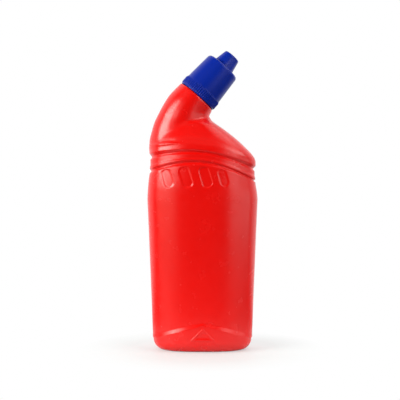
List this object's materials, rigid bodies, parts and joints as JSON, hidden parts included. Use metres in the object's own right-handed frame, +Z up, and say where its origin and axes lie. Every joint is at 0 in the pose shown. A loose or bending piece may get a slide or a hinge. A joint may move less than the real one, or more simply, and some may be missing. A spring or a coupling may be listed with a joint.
{
  "type": "drain cleaner bottle",
  "caption": "Red blow-moulded cleaner bottle with a bent neck, arched rib band, pouring nozzle and blue ribbed screw cap.",
  "frame": {"origin": "middle of the bottle's footprint, on the surface it stands on", "axes": "+Z up; +X to the side the neck leans to; the front face looks along -Y"},
  "size_m": [0.0878, 0.053, 0.2368],
  "materials": {
    "bottle_plastic": "semi-gloss blown polyethylene, fine moulded skin",
    "nozzle_plastic": "soft natural polyethylene",
    "seal_foam": "matt polyethylene foam",
    "cap_plastic": "satin injection-moulded polypropylene"
  },
  "bodies": {
    "bottle": {"bottle": "bottle_plastic", "nozzle": "nozzle_plastic"},
    "seal": {"seal_ring": "seal_foam"},
    "cap": {"cap": "cap_plastic"}
  },
  "joints": [
    {"name": "cap_rise", "type": "slide", "parent": "bottle", "child": "seal", "axis": [0.6587, 0, 0.7524], "range_m": [0, 0.0063]},
    {"name": "cap_turn", "type": "hinge", "parent": "seal", "child": "cap", "pos_m": [-0.0046, 0, 0.2006], "axis": [0.6587, 0, 0.7524], "range_deg": [0, 540]}
  ],
  "couplings": [
    {"joint": "cap_rise", "follows": "cap_turn", "m_per_rad": 0.00066845}
  ]
}
